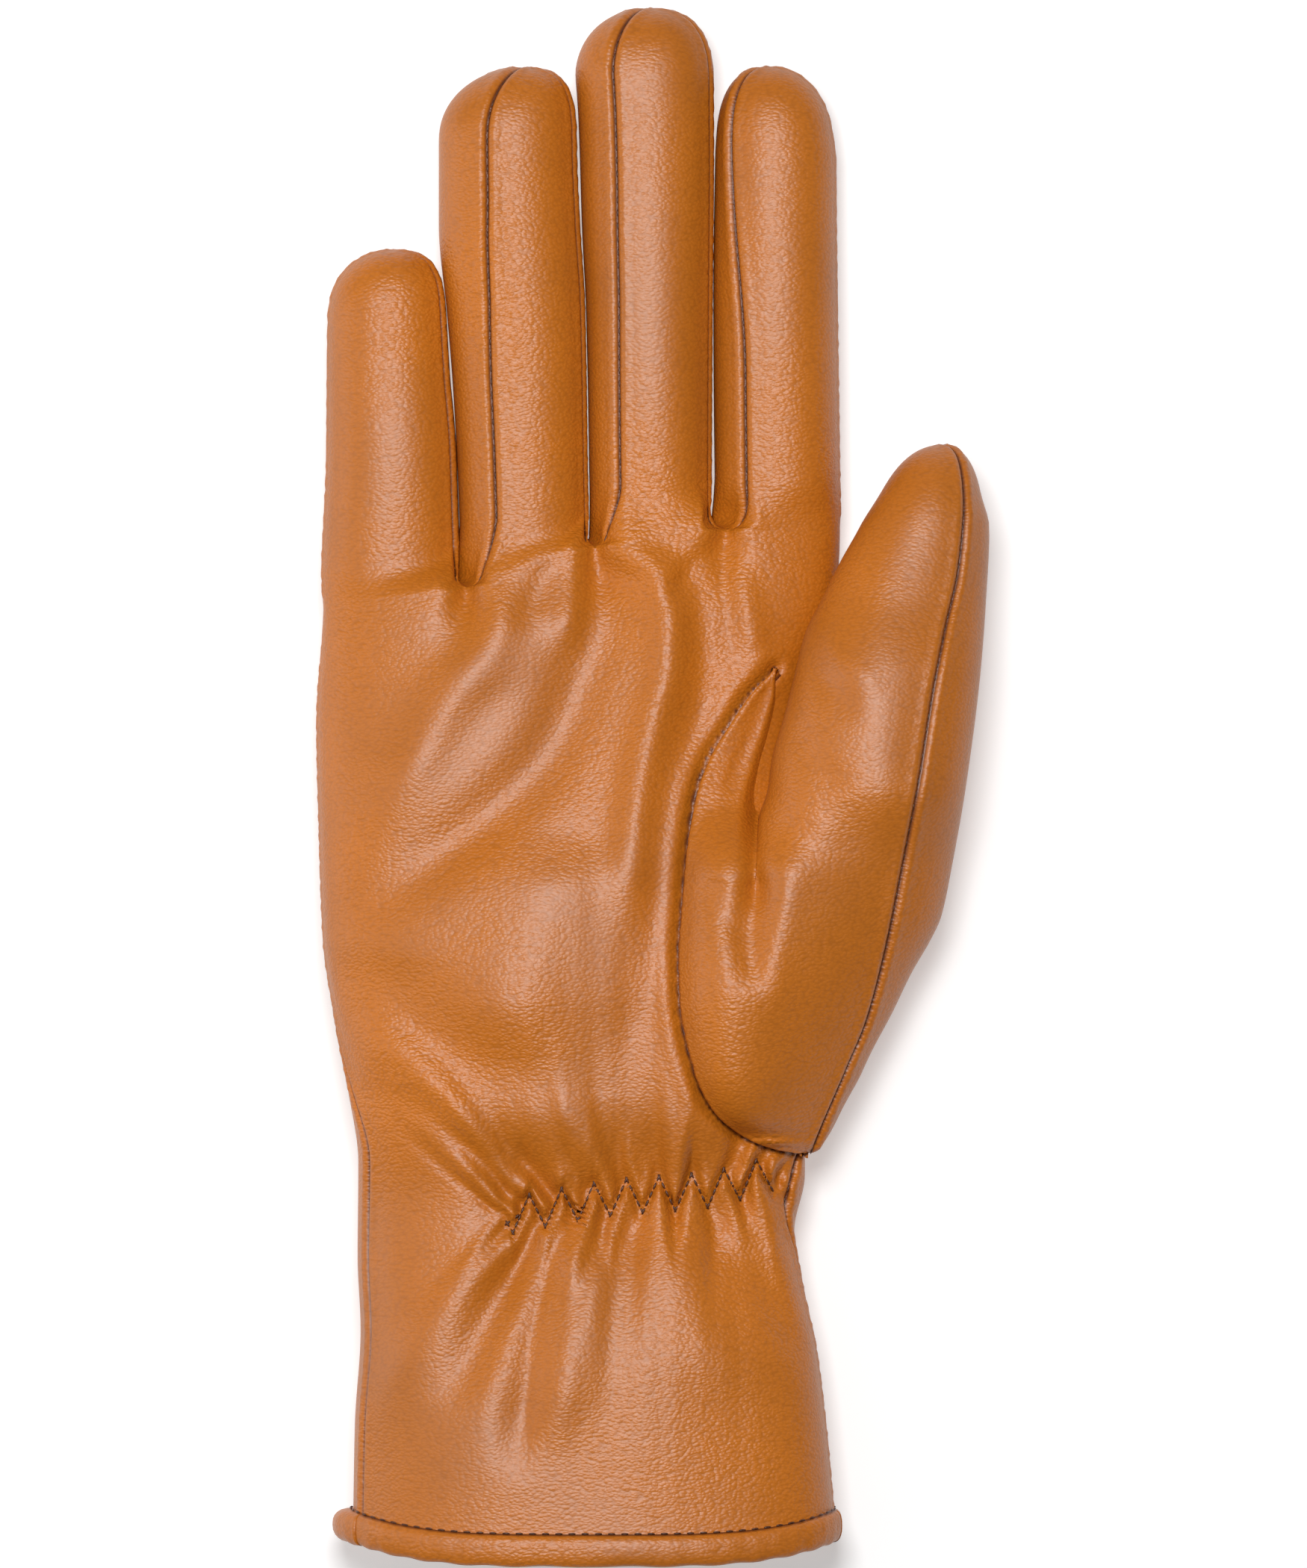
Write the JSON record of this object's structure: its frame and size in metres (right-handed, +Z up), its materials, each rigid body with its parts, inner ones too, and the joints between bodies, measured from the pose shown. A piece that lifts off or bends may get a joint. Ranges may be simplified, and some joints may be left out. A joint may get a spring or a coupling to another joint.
{
  "type": "touchscreen glove",
  "caption": "Lined leather touchscreen glove for the right hand, with bending fingers, a set-in thumb, an elastic wrist and a bound hem.",
  "frame": {"origin": "on the surface the glove lies on, under the middle of its bounding box", "axes": "+Y from the hem to the fingertips, +X towards the thumb, +Z up out of the palm; the glove lies on its back"},
  "size_m": [0.1085, 0.25, 0.036],
  "materials": {
    "leather": "smooth satin",
    "lining": "brushed knit",
    "elastic": "woven",
    "thread": "satin",
    "conductive": "metallic knit"
  },
  "bodies": {
    "hand": {"palm_panel": "leather", "back_panel": "leather", "fourchette_bottom_little_ring": "leather", "fourchette_bottom_ring_middle": "leather", "fourchette_bottom_middle_index": "leather", "hem_binding_palm": "leather", "hem_binding_back": "leather", "wrist_elastic": "elastic", "wrist_zigzag_thread": "thread", "thumb_base_palm_side": "leather", "thumb_base_back": "leather", "thumb_base_lining": "lining", "hand_lining": "lining"},
    "little_finger": {"little_palm_side": "leather", "little_back": "leather", "little_right_fourchette": "leather", "little_lining": "lining"},
    "ring_finger": {"ring_palm_side": "leather", "ring_back": "leather", "ring_left_fourchette": "leather", "ring_right_fourchette": "leather", "ring_lining": "lining"},
    "middle_finger": {"middle_palm_side": "leather", "middle_back": "leather", "middle_left_fourchette": "leather", "middle_right_fourchette": "leather", "middle_lining": "lining"},
    "index_finger": {"index_palm_side": "leather", "index_back": "leather", "index_left_fourchette": "leather", "index_lining": "lining", "index_conductive_pad": "conductive"},
    "thumb": {"thumb_palm_side": "leather", "thumb_back": "leather", "thumb_lining": "lining", "thumb_conductive_pad": "conductive"}
  },
  "joints": [
    {"name": "little_flex", "type": "hinge", "parent": "hand", "child": "little_finger", "pos_m": [-0.0423, 0.04, 0.0125], "axis": [0.9998, 0.0175, 0], "range_deg": [0, 60]},
    {"name": "ring_flex", "type": "hinge", "parent": "hand", "child": "ring_finger", "pos_m": [-0.02075, 0.046, 0.014], "axis": [0.9988, 0.0488, 0], "range_deg": [0, 60]},
    {"name": "middle_flex", "type": "hinge", "parent": "hand", "child": "middle_finger", "pos_m": [-0.0004, 0.049, 0.0145], "axis": [1, 0.0087, 0], "range_deg": [0, 60]},
    {"name": "index_flex", "type": "hinge", "parent": "hand", "child": "index_finger", "pos_m": [0.02, 0.049, 0.0135], "axis": [1, -0.0017, 0], "range_deg": [0, 60]},
    {"name": "thumb_flex", "type": "hinge", "parent": "hand", "child": "thumb", "pos_m": [0.03822, 0.02202, 0.023], "axis": [0.9613, -0.2756, 0], "range_deg": [0, 45]}
  ]
}
